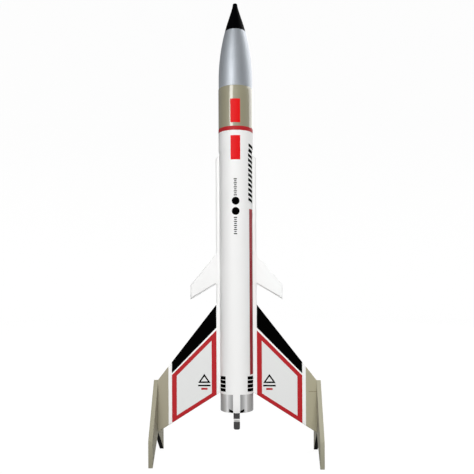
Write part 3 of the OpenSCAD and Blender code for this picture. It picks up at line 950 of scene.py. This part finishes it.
# fine steps at the finger tab's rounded end
END_R = 1.7
last, before = path[-1], path[-2]
path = path[:-1] + [before.lerp(last, 1 - END_R / (last - before).length * (1 - sin(k * pi / 20))) for k in range(11)]
verts, faces = [], []
e = 0.14
L = [0.0]
for a, b in zip(path, path[1:]): L.append(L[-1] + (b - a).length)
for i, p in enumerate(path):
    a = path[max(i - 1, 0)]; b = path[min(i + 1, len(path) - 1)]
    t = (b - a).normalized()
    nn = Vector((-t.y, t.x))
    rest = L[-1] - L[i]
    w = HW if rest > END_R else HW - END_R + sqrt(max(END_R ** 2 - (END_R - rest) ** 2, 0.004))
    h = HT / 2
    sec = [(-w, -h + e), (-w + e, -h), (w - e, -h), (w, -h + e), (w, h - e), (w - e, h), (-w + e, h), (-w, h - e)]
    for x, d in sec:
        verts.append((x, p.x + nn.x * d, p.y + nn.y * d))
fine_end = []
for i in range(len(path) - 1):
    for j in range(8):
        q = (j + 1) % 8
        faces.append([i * 8 + j, i * 8 + q, (i + 1) * 8 + q, (i + 1) * 8 + j])
faces.append(list(range(8)))
faces.append([(len(path) - 1) * 8 + j for j in reversed(range(8))])
o = mesh_obj("hook_strip", verts, faces, "hook", M["steel"], angle=40)
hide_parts("engine_hook")

# ---------------------------------------------------------------- launch lug
L0, L1 = lo("launch_lug"), hi("launch_lug")
LY = (L0.y + L1.y) / 2
LR = (L1.x - L0.x) / 2
o = lathe("lug_tube", ring_profile(LR, LR - 0.3, L0.z, L1.z, e=0.08, step=10), 48, "airframe",
          [M["white_wood"], M["tube_inside"]], lambda c, n: 0 if Vector((c.x, c.y - LY)).length > LR - 0.2 else 1, centre=(0, LY))
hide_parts("launch_lug")

# ---------------------------------------------------------------- folded parachute
P0, P1 = lo("parachute_pack"), hi("parachute_pack")
pc = Vector(((P0.x + P1.x) / 2, (P0.y + P1.y) / 2))
pr = (P1.x - P0.x) / 2
verts, faces = [], []
turns, per = 3.25, 64
NU, NV = int(turns * per), 44
z0, z1 = P0.z + 0.3, P1.z - 0.3


def roll(u, v, side):
    """Spiral roll: u along the spiral, v along the length, side 0 outer and 1 inner face."""
    th = 2 * pi * u * turns
    rad = 2.0 + (pr - 2.9) * u
    z = z0 + (z1 - z0) * v
    f = noise.noise(Vector((cos(th) * 0.9, sin(th) * 0.9, z * 0.11)) + Vector((u * 3, 0, 5)))
    g = noise.noise(Vector((cos(th) * 2.3, sin(th) * 2.3, z * 0.3)) + Vector((u * 5, 3, 1)))
    rad += 0.55 * f + 0.3 * g
    rad -= 0.9 * side
    rad = min(rad, pr - 0.15)
    zz = z + (0.5 - abs(v - 0.5)) * 0 + 0.8 * g * (1 if v < 0.08 or v > 0.92 else 0.2)
    zz -= (0.9 * (1 - u)) * (1 if v > 0.9 else 0) * 2.0
    return (pc.x + rad * cos(th), pc.y + rad * sin(th), min(max(zz, P0.z + 0.05), P1.z - 0.05))


for side in (0, 1):
    for i in range(NU + 1):
        for j in range(NV + 1):
            verts.append(roll(i / NU, j / NV, side))
W = NV + 1
off = (NU + 1) * W
for i in range(NU):
    for j in range(NV):
        q = [i * W + j, (i + 1) * W + j, (i + 1) * W + j + 1, i * W + j + 1]
        faces.append(q)
        faces.append([x + off for x in reversed(q)])
rim = [i * W for i in range(NU)] + [NU * W + j for j in range(NV)] + [i * W + NV for i in range(NU, 0, -1)] + [j for j in range(NV, 0, -1)]
for kk in range(len(rim)):
    a, b = rim[kk], rim[(kk + 1) % len(rim)]
    faces.append([a, a + off, b + off, b])
o = mesh_obj("folded_canopy", verts, faces, "airframe", M["canopy"], angle=60)
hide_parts("parachute_pack")


# ---------------------------------------------------------------- stage, lights, camera
def stage_mat():
    m, nt, b = new_mat("pale_stage")
    v = coords(nt)
    c = mix_col(nt, noise_tex(nt, v, 6, 2), grey(0.135), grey(0.145))
    nt.links.new(c, b.inputs["Base Color"])
    b.inputs["Roughness"].default_value = 0.9
    b.inputs["Specular IOR Level"].default_value = 0.0
    b.inputs["Emission Color"].default_value = (1, 1, 1, 1)
    b.inputs["Emission Strength"].default_value = STAGE_GLOW
    return m


STAGE_GLOW = 0.92
STAGE = stage_mat()


def stage_part(name, prof, glossy, seg=96):
    """A round sheet from an (r, z) profile, for the floor and the backdrop all round it."""
    n = len(prof)
    verts = [(r * cos(2 * pi * i / seg), r * sin(2 * pi * i / seg), z - 0.0002) for i in range(seg) for r, z in prof if r]
    rows = [p for p in prof if p[0]]
    m = len(rows)
    faces = [[i * m + k, (i + 1) % seg * m + k, (i + 1) % seg * m + k + 1, i * m + k + 1] for i in range(seg) for k in range(m - 1)]
    if n > m:
        verts.append((0, 0, prof[0][1] - 0.0002))
        faces += [[len(verts) - 1, (i + 1) % seg * m, i * m] for i in range(seg)]
    me = bpy.data.meshes.new(name)
    me.from_pydata(verts, [], faces)
    me.materials.append(STAGE)
    for p in me.polygons: p.use_smooth = True
    ob = bpy.data.objects.new(name, me)
    bpy.context.scene.collection.objects.link(ob)
    ob.visible_diffuse = False
    ob.visible_glossy = glossy
    return ob


stage_part("floor", [(0, 0), (0.5, 0), (1.2, 0), (2.2, 0)], True)
stage_part("backdrop", [(2.2 + 1.2 * sin(a * pi / 24), 1.2 - 1.2 * cos(a * pi / 24)) for a in range(0, 13)] + [(3.4, 4.5)], False)


def area(name, loc, target, sx, sy, radiance, diffuse=True, glossy=True, col=(1, 1, 1)):
    l = bpy.data.lights.new(name, "AREA")
    l.shape = "RECTANGLE"
    l.size, l.size_y = sx, sy
    l.energy = radiance * pi * sx * sy
    l.color = col
    ob = bpy.data.objects.new(name, l)
    ob.location = loc
    ob.rotation_euler = (Vector(target) - Vector(loc)).to_track_quat("-Z", "Y").to_euler()
    bpy.context.scene.collection.objects.link(ob)
    ob.visible_camera = False
    ob.visible_diffuse = diffuse
    ob.visible_glossy = glossy
    return ob


def polar(az, dist, z):
    """az degrees from the front (-Y) towards +X."""
    return (dist * sin(radians(az)), -dist * cos(radians(az)), z)


# a wide soft box in front shapes the whites; the two strips give the long highlights
area("front_softbox", polar(1, 2.4, 0.9), (0, 0, 0.22), 1.5, 1.5, 6.7, glossy=False)
area("right_rim", polar(130, 1.6, 0.5), (0, 0, 0.25), 0.8, 2.0, 1.8, glossy=False)
area("left_strip", polar(-26.5, 1.5, 0.42), (0, 0, 0.30), 0.56, 2.4, 5.8, diffuse=False)
area("right_panel", polar(138, 1.3, 0.5), (0, 0, 0.3), 1.6, 2.4, 1.9, diffuse=False)
area("high_right_panel", polar(107, 0.95, 1.32), (0, 0, 0.42), 0.7, 0.8, 2.0, diffuse=False)

w = bpy.data.worlds.new("studio")
bpy.context.scene.world = w
w.use_nodes = True
w.node_tree.nodes["Background"].inputs[0].default_value = (1, 1, 1, 1)
wt = w.node_tree
wc = wt.nodes.new("ShaderNodeTexCoord")
ws = wt.nodes.new("ShaderNodeSeparateXYZ")
wt.links.new(wc.outputs["Generated"], ws.inputs[0])
sky = wt.nodes.new("ShaderNodeMapRange")      # brighter above than below
sky.inputs["From Min"].default_value, sky.inputs["From Max"].default_value = -0.7, 0.7
sky.inputs["To Min"].default_value, sky.inputs["To Max"].default_value = 0.08, 0.56
wt.links.new(ws.outputs["Z"], sky.inputs["Value"])
lp = wt.nodes.new("ShaderNodeLightPath")
wm = wt.nodes.new("ShaderNodeMapRange")
wm.inputs["To Max"].default_value = 0.275      # what gloss reflects
wt.links.new(lp.outputs["Is Glossy Ray"], wm.inputs["Value"])
wt.links.new(sky.outputs["Result"], wm.inputs["To Min"])
wt.links.new(wm.outputs["Result"], wt.nodes["Background"].inputs[1])

cam = bpy.data.cameras.new("camera")
co = bpy.data.objects.new("camera", cam)
bpy.context.scene.collection.objects.link(co)
cam.sensor_width = 36
cam.sensor_fit = "HORIZONTAL"
F_PX = 560.8
cam.lens = F_PX / 474 * 36
cam.shift_y = 0.088
cam.shift_x = 0.0
cam.clip_start, cam.clip_end = 0.02, 50
co.location = (0.0221, -0.5748, 0.1845)
yaw, roll_ = 0.0373, -0.0050
fwd = Vector((-sin(yaw), cos(yaw), 0))
right = Vector((cos(yaw), sin(yaw), 0))
up = right.cross(fwd)
r2 = cos(roll_) * right + sin(roll_) * up
u2 = -sin(roll_) * right + cos(roll_) * up
co.matrix_world = Matrix(((r2.x, u2.x, -fwd.x, co.location.x), (r2.y, u2.y, -fwd.y, co.location.y),
                          (r2.z, u2.z, -fwd.z, co.location.z), (0, 0, 0, 1)))
bpy.context.scene.camera = co
sc = bpy.context.scene
sc.view_settings.view_transform = "Standard"
sc.view_settings.look = "None"

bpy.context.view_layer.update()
